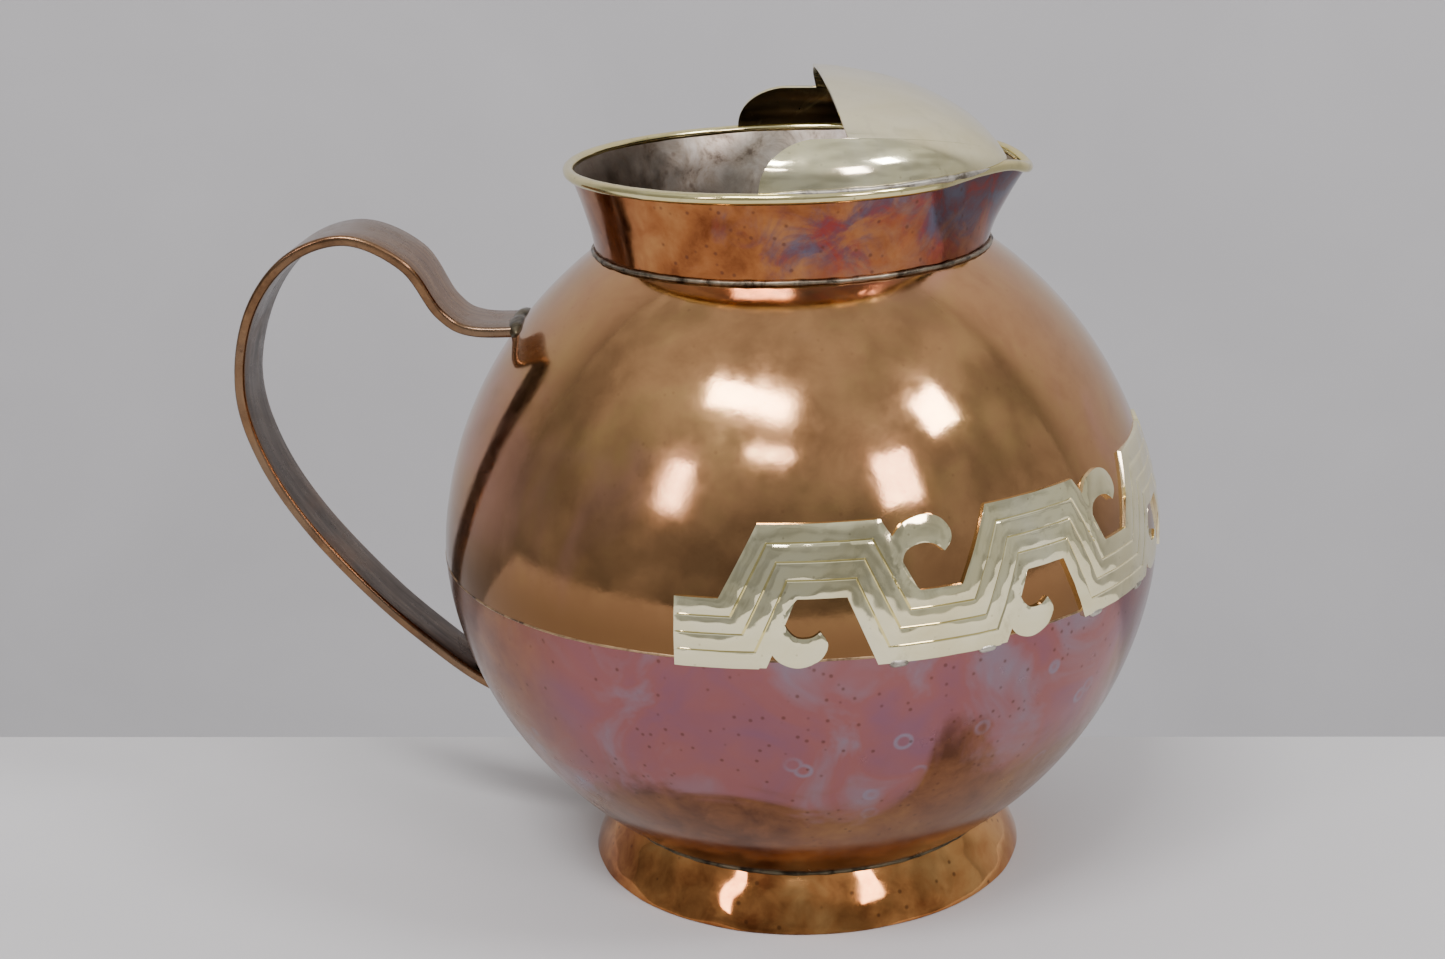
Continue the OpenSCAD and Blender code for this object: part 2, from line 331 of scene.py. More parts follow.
def fade(tree, value, low, high, a=0.0, b=1.0):
    """Value mapped smoothly from low..high to a..b."""
    out = node(tree, "ShaderNodeMapRange", interpolation_type="SMOOTHSTEP")
    out.inputs["From Min"].default_value = low
    out.inputs["From Max"].default_value = high
    out.inputs["To Min"].default_value = a
    out.inputs["To Max"].default_value = b
    tree.links.new(value, out.inputs["Value"])
    return out.outputs["Result"]


def calc(tree, operation, a, b):
    """Two values joined by a math operation. Each is a socket or a number."""
    out = node(tree, "ShaderNodeMath", operation=operation)
    for socket, value in zip(out.inputs, (a, b)):
        if isinstance(value, (int, float)):
            socket.default_value = value
        else:
            tree.links.new(value, socket)
    return out.outputs["Value"]


def mix(tree, amount, a, b, blend="MIX"):
    """Two colours mixed. Each is a socket or three numbers."""
    out = node(tree, "ShaderNodeMix", data_type="RGBA", blend_type=blend)
    for socket, value in ((out.inputs["Factor"], amount), (out.inputs[6], a), (out.inputs[7], b)):
        if isinstance(value, (int, float)):
            socket.default_value = value
        elif isinstance(value, tuple):
            socket.default_value = (*value, 1)
        else:
            tree.links.new(value, socket)
    return out.outputs[2]


def axis(tree, which):
    """One of the object coordinates, in metres."""
    split = node(tree, "ShaderNodeSeparateXYZ")
    tree.links.new(place(tree), split.inputs["Vector"])
    return split.outputs[which]


def bump(tree, shader, height, strength, distance):
    """Fine relief from a pattern. The distance is in metres."""
    out = node(tree, "ShaderNodeBump")
    out.inputs["Strength"].default_value = strength
    out.inputs["Distance"].default_value = distance
    tree.links.new(height, out.inputs["Height"])
    tree.links.new(out.outputs["Normal"], shader.inputs["Normal"])


def finish_shader(tree, shader, colour, roughness):
    """Colour from a socket, and roughness from a socket or a number."""
    tree.links.new(colour, shader.inputs["Base Color"])
    if isinstance(roughness, (int, float)):
        shader.inputs["Roughness"].default_value = roughness
    else:
        tree.links.new(roughness, shader.inputs["Roughness"])


COPPER = (0.50, 0.262, 0.118)
COPPER_DARK = (0.38, 0.19, 0.085)
COPPER_GOLD = (0.55, 0.32, 0.13)
# Painted shade: colour of the band just above the seam, standing in for the darker reflection there.
SEAM_SHADE = (0.20, 0.10, 0.04)
COPPER_ROSE = (0.55, 0.27, 0.20)
# Lower bowl tones: the upper copper's tones at about half brightness, as painted shade over the bowl's own
# mottling.
LOW_COPPER = (0.21, 0.084, 0.033)
LOW_DARK = (0.10, 0.036, 0.016)
LOW_GOLD = (0.29, 0.135, 0.044)
HEAT_MAGENTA = (0.25, 0.040, 0.045)
HEAT_PURPLE = (0.26, 0.12, 0.165)
HEAT_PINK = (0.32, 0.125, 0.13)
HEAT_BLUE = (0.26, 0.23, 0.29)
BRASS_PALE = (0.94, 0.89, 0.64)
BRASS_DARK = (0.38, 0.34, 0.18)
TIN = (0.84, 0.77, 0.66)
TIN_DARK = (0.20, 0.15, 0.11)
LEAD = (0.14, 0.12, 0.09)


def mottled(tree, dark, main, light, coarse, fine):
    """Copper colour that wanders between three tones at two sizes."""
    vector = place(tree)
    wide = noise(tree, vector, coarse, 3.0, 0.5, 0.8)
    small = noise(tree, vector, fine, 6.0, 0.65, 0.4)
    both = calc(tree, "ADD", calc(tree, "MULTIPLY", wide, 0.6), calc(tree, "MULTIPLY", small, 0.4))
    return ramp(tree, both, [(0.36, dark), (0.5, main), (0.64, light)])


def smudges(tree, low, high, coarse=30.0, fine=220.0):
    """Roughness between two values, in soft smears and fine specks."""
    vector = place(tree)
    wide = noise(tree, vector, coarse, 4.0, 0.6, 0.6)
    small = noise(tree, vector, fine, 3.0, 0.6)
    both = calc(tree, "ADD", calc(tree, "MULTIPLY", wide, 0.65), calc(tree, "MULTIPLY", small, 0.35))
    return fade(tree, both, 0.35, 0.68, low, high)


def upper_copper():
    """Warm brown copper with soft pink patches of heat and small tarnish specks."""
    material, tree, shader = new_material("copper_upper")
    base = mottled(tree, COPPER_DARK, COPPER, COPPER_GOLD, 18, 90)
    vector = place(tree)
    rosy = fade(tree, noise(tree, vector, 22, 3.0, 0.5, 1.2), 0.56, 0.72, 0.0, 0.55)
    warmed = mix(tree, rosy, base, COPPER_ROSE)
    flecks = fade(tree, spots(tree, vector, 240), 0.05, 0.14, 0.45, 0.0)
    streaks = fade(tree, noise(tree, place(tree, (1, 1, 3.0)), 160, 5.0, 0.7), 0.62, 0.75, 0.0, 0.35)
    aged = mix(tree, calc(tree, "MAXIMUM", flecks, streaks), warmed, COPPER_DARK)
    # Painted shade: the upper bowl darkens towards the seam, standing in for the darker reflection just above
    # it.
    low = fade(tree, axis(tree, "Z"), 0.088, 0.112, 0.95, 0.0)
    seam_shaded = mix(tree, low, aged, SEAM_SHADE)
    finish_shader(tree, shader, seam_shaded, smudges(tree, 0.07, 0.17))
    bump(tree, shader, noise(tree, vector, 260, 4.0, 0.6), 0.05, 0.0004)
    return material


def lower_copper():
    """Copper with a purple heat band under the seam, blue tarnish rings in it, and mottled gold below; its
    base tones are painted shade, about half as bright as the upper copper's.
    """
    material, tree, shader = new_material("copper_lower")
    vector = place(tree)
    base = mottled(tree, LOW_DARK, LOW_COPPER, LOW_GOLD, 24, 130)
    height = axis(tree, "Z")
    slope = calc(tree, "MULTIPLY", axis(tree, "X"), -0.16)
    drift = fade(tree, noise(tree, vector, 26, 5.0, 0.6, 0.8), 0.3, 0.7, -0.012, 0.012)
    level = calc(tree, "ADD", calc(tree, "ADD", height, slope), drift)
    in_band = fade(tree, level, 0.040, 0.058, 0.0, 1.0)
    front = fade(tree, axis(tree, "Y"), -0.045, 0.02, 1.0, 0.25)
    left = fade(tree, axis(tree, "X"), -0.072, -0.045, 0.15, 1.0)
    strength = calc(tree, "MULTIPLY", calc(tree, "MULTIPLY", in_band, front), left)
    heat = ramp(tree, noise(tree, vector, 34, 4.0, 0.55, 1.0),
                [(0.32, HEAT_PURPLE), (0.5, HEAT_PINK), (0.72, HEAT_BLUE)])
    banded = mix(tree, calc(tree, "MULTIPLY", strength, 0.9), base, heat)
    cells = spots(tree, vector, 95)
    inner_edge = fade(tree, cells, 0.10, 0.17, 0.0, 1.0)
    outer_edge = fade(tree, cells, 0.19, 0.26, 1.0, 0.0)
    rings = calc(tree, "MULTIPLY", inner_edge, outer_edge)
    patchy = fade(tree, noise(tree, vector, 30, 2.0), 0.48, 0.62, 0.0, 0.7)
    marks = calc(tree, "MULTIPLY", calc(tree, "MULTIPLY", rings, patchy), strength)
    ringed = mix(tree, marks, banded, HEAT_BLUE)
    flecks = fade(tree, spots(tree, vector, 300), 0.06, 0.2, 0.55, 0.0)
    aged = mix(tree, flecks, ringed, LOW_DARK)
    finish_shader(tree, shader, aged, smudges(tree, 0.15, 0.28))
    bump(tree, shader, noise(tree, vector, 240, 4.0, 0.6), 0.06, 0.0004)
    return material


def collar_copper():
    """Orange copper that turns magenta, purple and blue towards the lip."""
    material, tree, shader = new_material("copper_collar")
    vector = place(tree)
    base = mottled(tree, (0.16, 0.045, 0.016), (0.36, 0.13, 0.042), (0.48, 0.22, 0.08), 30, 150)
    drift = fade(tree, noise(tree, vector, 60, 5.0, 0.6, 1.0), 0.3, 0.7, -0.02, 0.02)
    along = calc(tree, "ADD", axis(tree, "X"), drift)
    heat = ramp(tree, noise(tree, vector, 90, 7.0, 0.68, 0.8),
                [(0.38, HEAT_MAGENTA), (0.5, (0.13, 0.065, 0.09)), (0.62, (0.10, 0.105, 0.16))])
    height = calc(tree, "ADD", axis(tree, "Z"), calc(tree, "MULTIPLY", drift, 0.3))
    high = fade(tree, height, 0.162, 0.172, 0.35, 1.0)
    amount = calc(tree, "MULTIPLY", fade(tree, along, -0.012, 0.026, 0.0, 0.92), high)
    coloured = mix(tree, amount, base, heat)
    flecks = fade(tree, spots(tree, vector, 280), 0.06, 0.2, 0.6, 0.0)
    aged = mix(tree, flecks, coloured, (0.10, 0.04, 0.03))
    finish_shader(tree, shader, aged, smudges(tree, 0.08, 0.20, 50, 260))
    bump(tree, shader, noise(tree, vector, 220, 4.0, 0.6), 0.08, 0.0004)
    return material


def foot_copper():
    """Polished copper, worn bright, with tarnish spots."""
    material, tree, shader = new_material("copper_foot")
    vector = place(tree)
    base = mottled(tree, (0.26, 0.085, 0.026), (0.52, 0.22, 0.07), (0.66, 0.34, 0.12), 34, 130)
    flecks = fade(tree, spots(tree, vector, 210), 0.06, 0.16, 0.6, 0.0)
    aged = mix(tree, flecks, base, LOW_DARK)
    finish_shader(tree, shader, aged, smudges(tree, 0.04, 0.12, 60, 260))
    bump(tree, shader, noise(tree, vector, 60, 3.0, 0.5), 0.10, 0.0008)
    return material


def strap_copper():
    """Strap copper with fine streaks along it, grey dull patches and dark specks."""
    material, tree, shader = new_material("copper_strap")
    streaks = noise(tree, place(tree, (1, 14, 1)), 55, 7.0, 0.7)
    base = ramp(tree, streaks,
                [(0.3, (0.09, 0.045, 0.025)), (0.5, (0.22, 0.12, 0.06)), (0.7, (0.34, 0.20, 0.10))])
    dull = fade(tree, noise(tree, place(tree), 24, 3.0, 0.5, 0.8), 0.4, 0.65, 0.0, 0.6)
    greyed = mix(tree, dull, base, (0.20, 0.145, 0.10))
    specks = fade(tree, spots(tree, place(tree), 260), 0.05, 0.16, 0.5, 0.0)
    aged = mix(tree, specks, greyed, (0.12, 0.06, 0.035))
    finish_shader(tree, shader, aged, smudges(tree, 0.18, 0.32, 40, 300))
    bump(tree, shader, streaks, 0.10, 0.0004)
    return material


def strap_shaded_inside():
    """Inner face of the strap, towards the body: dull grey-brown, far darker than the outer faces as painted
    shade, with soft brown patches.
    """
    material, tree, shader = new_material("copper_strap_inside")
    streaks = noise(tree, place(tree, (1, 9, 1)), 45, 6.0, 0.65)
    base = ramp(tree, streaks,
                [(0.34, (0.045, 0.032, 0.024)), (0.52, (0.10, 0.075, 0.058)), (0.7, (0.16, 0.12, 0.09))])
    worn = fade(tree, noise(tree, place(tree), 30, 4.0, 0.6), 0.55, 0.7, 0.0, 0.5)
    aged = mix(tree, worn, base, (0.16, 0.085, 0.045))
    finish_shader(tree, shader, aged, smudges(tree, 0.22, 0.38, 40, 300))
    bump(tree, shader, streaks, 0.10, 0.0004)
    return material


def tinned():
    """Inside of the collar: wiped tin gone grey-brown, with dark blotches, and painted shade turning it dark
    brown towards the handle side.
    """
    material, tree, shader = new_material("tin_inside")
    vector = place(tree)
    blotches = noise(tree, vector, 110, 8.0, 0.75, 0.4)
    base = ramp(tree, blotches,
                [(0.34, TIN_DARK), (0.46, (0.62, 0.53, 0.42)), (0.6, TIN), (0.75, (0.96, 0.93, 0.87))])
    # Painted shade: the tin turns dark brown towards the handle side (−X).
    brown = fade(tree, axis(tree, "X"), -0.048, -0.005, 0.9, 0.0)
    handle_side_shaded = mix(tree, brown, base, (0.12, 0.085, 0.06))
    specks = fade(tree, spots(tree, vector, 200), 0.06, 0.2, 0.7, 0.0)
    aged = mix(tree, specks, handle_side_shaded, TIN_DARK)
    finish_shader(tree, shader, aged, smudges(tree, 0.30, 0.48, 50, 240))
    bump(tree, shader, blotches, 0.15, 0.0005)
    return material


def brass(name, low, high, tarnish, tint=(1.0, 0.97, 0.86)):
    """Pale brass sheet or wire, softly smeared, with a little olive tarnish."""
    material, tree, shader = new_material(name)
    vector = place(tree)
    pale = ramp(tree, noise(tree, vector, 40, 5.0, 0.6, 0.7),
                [(0.3, (0.84, 0.77, 0.50)), (0.5, BRASS_PALE), (0.7, (0.98, 0.94, 0.74))])
    base = mix(tree, 1.0, pale, tint, "MULTIPLY")
    stain = fade(tree, noise(tree, vector, 85, 6.0, 0.7, 0.8), 0.55, 0.72, 0.0, tarnish)
    stained = mix(tree, stain, base, BRASS_DARK)
    specks = fade(tree, spots(tree, vector, 330), 0.05, 0.13, tarnish, 0.0)
    aged = mix(tree, specks, stained, (0.25, 0.2, 0.1))
    finish_shader(tree, shader, aged, smudges(tree, low, high, 45, 260))
    bump(tree, shader, noise(tree, vector, 110, 3.0, 0.5), 0.07, 0.0005)
    return material


def solder(name, bright, dark):
    """Solder: grey, pitted and stained."""
    material, tree, shader = new_material(name)
    vector = place(tree)
    lumps = noise(tree, vector, 170, 6.0, 0.7, 0.5)
    base = ramp(tree, lumps, [(0.38, dark), (0.52, bright), (0.7, tuple(min(c * 1.3, 1) for c in bright))])
    finish_shader(tree, shader, base, smudges(tree, 0.28, 0.5, 90, 300))
    bump(tree, shader, lumps, 0.35, 0.0006)
    return material


# ---- the body, the collar and the foot ----

def bowl_curve(radius, reach, side, top=1.0, steps=56):
    """One bowl's curve from the seam towards its pole, up to a share of the way."""
    a = np.radians(90 * top * np.arange(steps + 1) / steps)
    power = 2 / BOWL_POWER
    return np.stack([radius * np.cos(a) ** power, SEAM_Z + side * reach * np.sin(a) ** power], axis=-1)


def bowl_uneven(deg, z):
    """Hand-raised copper: a little under the true curve, in slow waves, and true at the seam."""
    a = math.radians(deg)
    slow = wave(2.6 * math.cos(a) + np.asarray(z) * 0.052, 2.6 * math.sin(a) + np.asarray(z) * 0.031, 0.7)
    away = np.clip(np.abs(np.asarray(z) - SEAM_Z) / 14, 0, 1)
    return (0.11 * slow - 0.11) * away


def build_upper_bowl():
    outer = [p for p in bowl_curve(BODY_R, UPPER_RISE, 1, 0.9) if p[0] > OPENING_R]
    end_z = SEAM_Z + UPPER_RISE * (1 - (OPENING_R / BODY_R) ** BOWL_POWER) ** (1 / BOWL_POWER)
    inner = [p for p in bowl_curve(BODY_R - SHEET, UPPER_RISE - SHEET, 1, 0.9) if p[0] > OPENING_R]
    outline = np.array(outer + [(OPENING_R, end_z), (OPENING_R, end_z - 1.2)] + inner[::-1])
    split = len(outer) + 1
    bowl = turned("upper_bowl", outline, [upper_copper(), TINNED], bowl_uneven, 288,
                  lambda j: 0 if j < split or j == len(outline) - 1 else 1)
    finish_piece(bowl, "body_upper")


def build_lower_bowl():
    curve = bowl_curve(BODY_R, LOWER_DROP, -1)
    outer = [p for p in curve if p[1] > BASE_Z + 0.4]
    inner = [p for p in bowl_curve(BODY_R - SHEET, LOWER_DROP - SHEET, -1) if p[1] > BASE_Z + SHEET]
    base_r = float(bowl_r(BASE_Z))
    floor_out = [(base_r - 0.3, BASE_Z + 0.1), (base_r - 3, BASE_Z), (18, BASE_Z + 0.15), (0, BASE_Z + 0.2)]
    floor_in = [(0, BASE_Z + SHEET + 0.2), (18, BASE_Z + SHEET + 0.15), (base_r - 4, BASE_Z + SHEET)]
    outline = np.array([tuple(p) for p in outer] + floor_out + floor_in + [tuple(p) for p in inner[::-1]])
    split = len(outer) + len(floor_out)
    bowl = turned("lower_bowl", outline, [lower_copper(), TINNED], bowl_uneven, 288,
                  lambda j: 0 if j < split - 1 or j == len(outline) - 1 else 1)
    finish_piece(bowl, "body_lower")


def collar_point(deg, v, inset):
    r = COLLAR_BASE_R + (COLLAR_TOP_R - COLLAR_BASE_R + lip_out(deg)) * v ** FLARE_POWER - inset
    dent = 0.5 * bell(deg + 62, 2.2) * bell(v - 0.62, 0.1)
    hammer = 0.10 * wave(deg * 0.11, v * 3.4, 1.3) - 0.06
    z = COLLAR_Z + (COLLAR_H - lip_down(deg)) * v
    return around(r - dent + hammer, deg, z)


def build_collar():
    v = np.linspace(0, 1, 26)
    last = 2 * len(v) - 1
    rings = []
    for deg in full_turn(300):
        outer = collar_point(deg, v, 0.05)
        inner = collar_point(deg, v[::-1], SHEET)
        rings.append(np.concatenate([outer, inner]))
    collar = tube("collar_wall", np.array(rings), [collar_copper(), TINNED], True,
                  lambda j: 0 if j < len(v) - 1 or j == last else 1)
    finish_piece(collar, "collar")


def build_rim_wire():
    rings = []
    s = np.radians(np.arange(18) * 20)
    for deg in full_turn(320):
        size = WIRE_R * (1 + 0.035 * wave(deg * 0.21, 2.0, 0.4) - 0.03)
        r = COLLAR_TOP_R + lip_out(deg) + size * np.cos(s)
        z = RIM_Z - lip_down(deg) + 0.12 * wave(deg * 0.045, 1.0, 2.0) + size * np.sin(s)
        rings.append(around(r, deg, z))
    wire = tube("rim", np.array(rings), [brass("brass_wire", 0.08, 0.20, 0.75, (0.86, 0.80, 0.56))], True)
    finish_piece(wire, "rim_wire")


def build_foot():
    v = np.linspace(0, 1, 22)
    outer = np.stack([FOOT_TOP_R + (FOOT_R - FOOT_TOP_R) * (1 - v ** FOOT_FLARE), FOOT_H * v], axis=-1)
    outer[0] += (-0.35, 0.0)
    inner = outer[::-1] - (FOOT_WALL, 0)
    inner[:, 0] = np.maximum(inner[:, 0], bowl_r(inner[:, 1]))
    outline = np.concatenate([outer[:1], outer[:1] + (0.3, 0.25), outer[1:], inner])

    def uneven(deg, z):
        a = math.radians(deg)
        return 0.20 * wave(6 * math.cos(a) + z * 0.22, 6 * math.sin(a) + z * 0.15, 2.2) - 0.2

    foot = turned("foot", outline, [foot_copper()], uneven, 260)
    finish_piece(foot, "foot_ring")


# ---- the ice guard ----

def guard_start(sine):
    """Where a row of the guard starts, from the sine of its place around the arch."""
    h = GUARD_RISE * sine ** (2 / ARCH_POWER)
    if h < TAB_H - 1e-4:
        return TAB_ROUND - TAB_REACH - TAB_ROUND * math.sqrt(max(1 - (h / TAB_H) ** 2, 0))
    return GUARD_CORNER - (GUARD_CORNER - GUARD_BACK) * (h - TAB_H) / (GUARD_RISE - TAB_H)


def guard_point(x, t, inset):
    """Point of the guard at a distance towards the lip and a place around the arch."""
    half = math.sqrt(GUARD_R ** 2 - x * x) - inset
    rise = max(GUARD_RISE * (1 - (max(x, 0) / CROWN_LENGTH) ** 2) ** CROWN_POWER - inset, 0.2)
    cosine, sine = math.cos(t), max(math.sin(t), 0)
    y = half * math.copysign(abs(cosine) ** (2 / ARCH_POWER), cosine)
    z = GUARD_Z + rise * sine ** (2 / ARCH_POWER)
    uneven = 0.07 * float(wave(x * 0.13, y * 0.11, 0.9))
    return (x, y, z + uneven - 0.07)


def guard_angles():
    """Places around the arch, close together at the tabs' ends."""
    tab = math.asin((TAB_H / GUARD_RISE) ** (ARCH_POWER / 2))
    low = [tab * (1 - (1 - k / 22) ** 1.7) for k in range(22)] + [tab - 0.004]
    high = [tab + (math.pi / 2 - tab) * k / 22 for k in range(23)]
    side = low + high
    return side + [math.pi - t for t in reversed(side[:-1])]


def build_guard():
    columns = 54
    sheets = []
    for inset in (0.0, GUARD_T):
        rows = []
        for t in guard_angles():
            start = guard_start(max(math.sin(t), 0))
            length = GUARD_FRONT - start
            xs = [start + length * math.sin(math.pi / 2 * k / columns) for k in range(columns + 1)]
            rows.append([guard_point(x, t, inset) for x in xs])
        sheets.append(np.array(rows))
    n, m = sheets[0].shape[:2]
    top = grid_faces(n, m, False, False)
    under = [tuple(k + n * m for k in reversed(f)) for f in top]
    rim = [i * m for i in range(n)] + [(n - 1) * m + j for j in range(1, m)]
    rim += [i * m + m - 1 for i in range(n - 2, -1, -1)] + list(range(m - 2, 0, -1))
    sides = [(a, b, b + n * m, a + n * m) for a, b in zip(rim, rim[1:] + rim[:1])]
    points = np.concatenate([s.reshape(-1, 3) for s in sheets])
    turn = np.array(Matrix.Rotation(GUARD_TURN, 3, "Z"))
    slots = [0] * len(top) + [1] * len(under) + [0] * len(sides)
    # Painted shade: the guard's underside is tinted nearly black for the shade under the hood, with heavy
    # tarnish stains over it.
    inside = brass("brass_guard_shaded_underside", 0.16, 0.30, 0.9, (0.16, 0.13, 0.09))
    guard = make_piece("guard_sheet", points @ turn.T, top + under + sides,
                       [brass("brass_guard", 0.08, 0.19, 0.2), inside], slots, 50)
    add_bevel(guard, 0.2, 60)
    finish_piece(guard, "ice_guard")


# ---- the handle ----

def strap_width(z):
    """Width of the strap at a height."""
    heights = [h for _, h in STRAP_WIDTHS]
    widths = [w for w, _ in STRAP_WIDTHS]
    return float(np.interp(z, heights, widths))


def strap_section(width, thick):
    """Rounded outline of the strap, its faces flat."""
    corner = 0.95
    points = []
    for sx, sy, start in ((1, 1, 0), (-1, 1, 90), (-1, -1, 180), (1, -1, 270)):
        for k in range(6):
            a = math.radians(start + 18 * k)
            points.append((sx * (width / 2 - corner) + corner * math.cos(a),
                           sy * (thick / 2 - corner) + corner * math.sin(a)))
        if sx * sy < 0:
            continue
        for share in (0.5, 0.0, -0.5):
            points.append((sx * share * (width / 2 - corner), sy * (thick / 2 - 0.02)))
    return points


def solid_body():
    """The body filled, a shade small, to cut the strap with."""
    shrink = 0.4
    lower = bowl_curve(BODY_R - shrink, LOWER_DROP - shrink, -1)[::-1]
    upper = bowl_curve(BODY_R - shrink, UPPER_RISE - shrink, 1)[1:]
    curve = np.concatenate([lower, upper])
    rings = np.array([around(curve[:, 0], deg, curve[:, 1]) for deg in full_turn(180)])
    n, m = rings.shape[:2]
    return make_piece("cutter", rings.reshape(-1, 3), grid_faces(n, m, True, False), [])


def strap_face(j):
    """Material slot of a face around the strap: the side towards the body has its own."""
    return 1 if 20 <= j <= 23 else 0


def build_strap():
    path = np.array(spline(STRAP_LINE, 14))
    rings = []
    for i, (x, z) in enumerate(path):
        ahead, behind = path[min(i + 1, len(path) - 1)], path[max(i - 1, 0)]
        direction = (ahead - behind) / np.linalg.norm(ahead - behind)
        side = np.array([direction[1], -direction[0]])
        width = strap_width(z) - 0.1 + 0.12 * float(wave(i * 0.09, 1.0, 0.3))
        ring = []
        for u, v in strap_section(width, STRAP_T - 0.1):
            dip = 0.08 * float(wave(i * 0.11, u * 0.2, 1.9))
            ring.append((x + side[0] * (v + dip), u, z + side[1] * (v + dip)))
        rings.append(ring)
    strap = tube("strap", np.array(rings), [strap_copper(), strap_shaded_inside()], False, strap_face)
    cutter = solid_body()
    cut = strap.modifiers.new("cut", "BOOLEAN")
    cut.operation = "DIFFERENCE"
    cut.object = cutter
    cut.solver = "EXACT"
    with bpy.context.temp_override(object=strap, active_object=strap):
        bpy.ops.object.modifier_apply(modifier="cut")
    bpy.data.objects.remove(cutter)
    strap.data.set_sharp_from_angle(angle=math.radians(45))
    finish_piece(strap, "handle_strap")


# ---- the fret band ----

# Hooks of one repeat, as (degrees along the body, height in steps)
LOW_SCROLL = [(13.5, 0.27), (15, 0.09), (17.6, 0.01), (20.4, 0.12), (21.6, 0.34), (20.6, 0.53)]
LOW_INNER = [(20.6, 0.53), (19.2, 0.45), (17.2, 0.46), (15.8, 0.62), (15.8, 0.8), (17.5, 1)]
TOP_INNER = [(35, 1), (33.2, 1.22), (32.7, 1.4), (33.5, 1.56), (35.6, 1.63), (37.7, 1.6), (39.2, 1.49)]
TOP_SCROLL = [(39.2, 1.49), (40.4, 1.62), (40.4, 1.78), (39, 1.94), (36.6, 2), (33.4, 1.93), (31.5, 1.76)]
MM_PER_DEGREE = math.radians(BODY_R)
GROOVE_HALF = 0.018
GROOVE_DEPTH = 0.42
EDGE_DROP = 0.16


def fret_plane(repeat, points):
    """Points of one repeat, unrolled: millimetres along the body and up."""
    return [((repeat * FRET_PITCH + deg) * MM_PER_DEGREE, h * FRET_STEP) for deg, h in points]


def fret_outline():
    """The whole band's edge, unrolled, from its left end round."""
    curve = 7
    low = [(0, 0), (12, 0)] + spline(LOW_SCROLL, curve) + spline(LOW_INNER, curve)[1:]
    low += [(24.5, 1), (28.5, 0)]
    high = spline(TOP_INNER, curve) + spline(TOP_SCROLL, curve)[1:]
    high += [(30, 2), (11.8, 2), (6.4, 1)]
    points = []
    for i in range(FRET_COUNT):
        points += fret_plane(i, low)
    points += fret_plane(FRET_COUNT - 1, [(FRET_PITCH, 0)])
    for i in reversed(range(FRET_COUNT)):
        points += fret_plane(i, high)
    return points + fret_plane(0, [(0, 1)])


def subdivided(points, step, closed):
    """The polyline with points added so that none are further apart than the step."""
    ends = points[1:] + points[:1] if closed else points[1:]
    out = []
    for a, b in zip(points, ends):
        n = max(int(math.ceil(math.dist(a, b) / step)), 1)
        out += [(a[0] + (b[0] - a[0]) * k / n, a[1] + (b[1] - a[1]) * k / n) for k in range(n)]
    return out if closed else out + [points[-1]]


def fret_rows():
    """Lines that follow the strip, each with its depth under the band's face."""
    rows = []
    for groove in (0.25, 0.5, 0.75):
        rows += [(groove - GROOVE_HALF, 0.1), (groove, GROOVE_DEPTH), (groove + GROOVE_HALF, 0.1)]
    for strip in range(4):
        for share, depth in ((0.22, 0.03), (0.5, 0.0), (0.78, 0.03)):
            rows.append(((strip + share) / 4, depth))
    rows += [(0.02, 0.1), (0.98, 0.1)]
    lines = []
    for f, depth in rows:
        rise = [(0, f), (13.2 - 6.8 * f, f), (17.5 - 5.7 * f, 1 + f)]
        corners = rise + [(24.5 + 5.5 * f, 1 + f), (28.5 + 6.5 * f, f)]
        points = []
        for i in range(FRET_COUNT):
            points += fret_plane(i, corners)
        points += fret_plane(FRET_COUNT - 1, [(FRET_PITCH, f)])
        lines.append((points, depth))
    return lines


def hook_points():
    """Even points over the two hooks of every repeat."""
    out = []
    for lows, highs in (((14.4, 0.08), (21.2, 0.92)), ((31.2, 1.06), (40.2, 1.94))):
        degrees = np.arange(lows[0], highs[0], 0.75)
        heights = np.arange(lows[1], highs[1], 0.075)
        for i in range(FRET_COUNT):
            out += fret_plane(i, [(d + 0.37 * (k % 2), h) for k, h in enumerate(heights) for d in degrees])
    return out


def fret_mesh():
    """Triangles over the unrolled band: points, faces and the depth at each point."""
    edge = subdivided(fret_outline(), 0.9, True)
    points = [Vector(p) for p in edge]
    depths = [EDGE_DROP] * len(edge)
    edges = []
    for line, depth in fret_rows():
        fine = subdivided(line, 0.9, False)[1:-1]
        start = len(points)
        points += [Vector(p) for p in fine]
        depths += [depth] * len(fine)
        edges += [(start + k, start + k + 1) for k in range(len(fine) - 1)]
    inside = hook_points()
    points += [Vector(p) for p in inside]
    depths += [0.04] * len(inside)
    flat, _, faces, origins, _, _ = delaunay_2d_cdt(points, edges, [list(range(len(edge)))], 1, 1e-4)
    depth_of = [depths[o[0]] if o else 0.1 for o in origins]
    return np.array([tuple(p) for p in flat]), faces, np.array(depth_of)


def on_body(flat, out):
    """Unrolled points laid on the body, at a distance outside it."""
    z = FRET_Z + flat[:, 1]
    return around(bowl_r(z) + out, FRET_START + flat[:, 0] / MM_PER_DEGREE, z)


